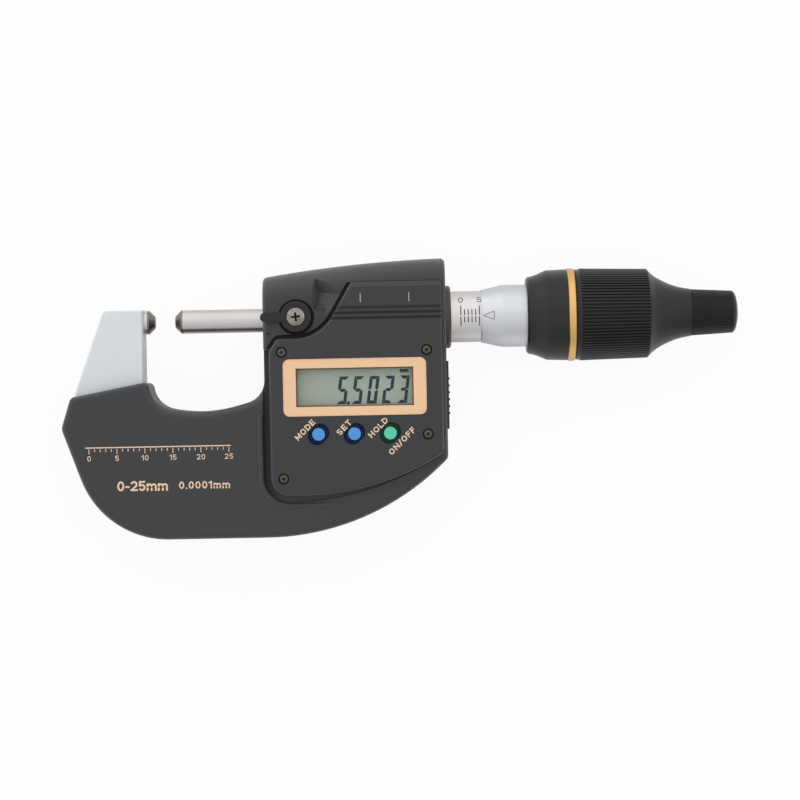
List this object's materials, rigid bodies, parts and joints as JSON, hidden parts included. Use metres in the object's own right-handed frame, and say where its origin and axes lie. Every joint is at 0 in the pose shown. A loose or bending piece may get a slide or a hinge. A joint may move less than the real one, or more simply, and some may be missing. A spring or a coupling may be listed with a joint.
{
  "type": "digital outside micrometer",
  "caption": "Digital outside micrometer for 0 to 25 mm with a black moulded body, a display panel, a silver arm and a knurled black thimble with a gold ring.",
  "frame": {"origin": "centre of the anvil's measuring face, on the spindle axis", "axes": "+X along the spindle from the anvil to the knob, +Y up in the display's reading direction, +Z out of the display"},
  "size_m": [0.183, 0.0744, 0.0265],
  "materials": {
    "black_cover": "fine texture",
    "black_panel": "smooth satin",
    "silver_paint": "fine hammered paint",
    "steel": "ground",
    "satin_chrome": "satin",
    "carbide": "ground",
    "peach_bezel": "printed",
    "clear_window": "clear",
    "display": "grey green",
    "board": "solder mask",
    "dark_screw": "blackened",
    "bright_screw": "polished",
    "blue_button": "smooth",
    "green_button": "smooth",
    "black_metal": "satin",
    "gold": "anodised",
    "dark_collar": "satin",
    "bronze": "machined",
    "rubber_black": "matte",
    "spring_steel": "drawn"
  },
  "bodies": {
    "housing": {"frame": "silver_paint", "anvil": "steel", "anvil_tip": "carbide", "front_cover": "black_cover", "back_cover": "black_cover", "display_panel": "black_panel", "window_bezel": "peach_bezel", "window_lens": "clear_window", "lcd_cell": "display", "circuit_board": "board", "key_switches": "rubber_black", "panel_screws": "dark_screw", "cover_screws": "dark_screw", "battery": "steel", "battery_contacts": "spring_steel", "data_connector": "dark_collar", "guide_bush": "steel", "collar": "dark_collar", "sleeve": "satin_chrome", "lead_nut": "bronze", "encoder_stator": "board", "clamp_shoe": "bronze"},
    "carriage": {"index_thimble": "satin_chrome", "thimble_key": "steel"},
    "thimble": {"spindle": "steel", "spindle_tip": "carbide", "thimble_skirt": "black_metal", "thimble_ring": "gold", "thimble_grip": "black_metal", "retaining_ring": "steel", "ratchet_disc": "steel", "ratchet_shaft": "steel", "ratchet_spring": "spring_steel"},
    "knob": {"ratchet_knob": "black_metal"},
    "rotor": {"encoder_rotor": "bronze"},
    "lever": {"clamp_lever": "black_metal", "clamp_stud": "steel", "clamp_screw": "bright_screw"},
    "mode_key": {"button_mode": "blue_button"},
    "set_key": {"button_set": "blue_button"},
    "hold_key": {"button_hold": "green_button"},
    "battery_door": {"battery_cap": "black_cover"},
    "port_plug": {"port_cover": "rubber_black"}
  },
  "joints": [
    {"name": "spindle_travel", "type": "slide", "parent": "housing", "child": "carriage", "axis": [1, 0, 0], "range_m": [-0.0055, 0.0195]},
    {"name": "thimble_turn", "type": "hinge", "parent": "carriage", "child": "thimble", "pos_m": [0.1, 0, 0], "axis": [1, 0, 0], "range_deg": [-3962.66, 14039.34]},
    {"name": "rotor_spin", "type": "hinge", "parent": "housing", "child": "rotor", "pos_m": [0.0734, 0, 0], "axis": [1, 0, 0], "range_deg": [-3962.66, 14039.34]},
    {"name": "ratchet_slip", "type": "hinge", "parent": "thimble", "child": "knob", "pos_m": [0.1515, 0, 0], "axis": [1, 0, 0], "continuous": true},
    {"name": "clamp_turn", "type": "hinge", "parent": "housing", "child": "lever", "pos_m": [0.0386, 0.0004, 0.0107], "axis": [0, 0, 1], "range_deg": [-35, 0]},
    {"name": "mode_press", "type": "slide", "parent": "housing", "child": "mode_key", "axis": [0, 0, 1], "range_m": [-0.0006, 0], "stiffness_N_per_m": 800},
    {"name": "set_press", "type": "slide", "parent": "housing", "child": "set_key", "axis": [0, 0, 1], "range_m": [-0.0006, 0], "stiffness_N_per_m": 800},
    {"name": "hold_press", "type": "slide", "parent": "housing", "child": "hold_key", "axis": [0, 0, 1], "range_m": [-0.0006, 0], "stiffness_N_per_m": 800},
    {"name": "battery_cap_off", "type": "slide", "parent": "housing", "child": "battery_door", "axis": [0, 0, -1], "range_m": [0, 0.01]},
    {"name": "port_cover_off", "type": "slide", "parent": "housing", "child": "port_plug", "axis": [1, 0, 0], "range_m": [0, 0.01]}
  ],
  "couplings": [
    {"joint": "thimble_turn", "follows": "spindle_travel", "rad_per_m": 12566},
    {"joint": "rotor_spin", "follows": "spindle_travel", "rad_per_m": 12566}
  ]
}
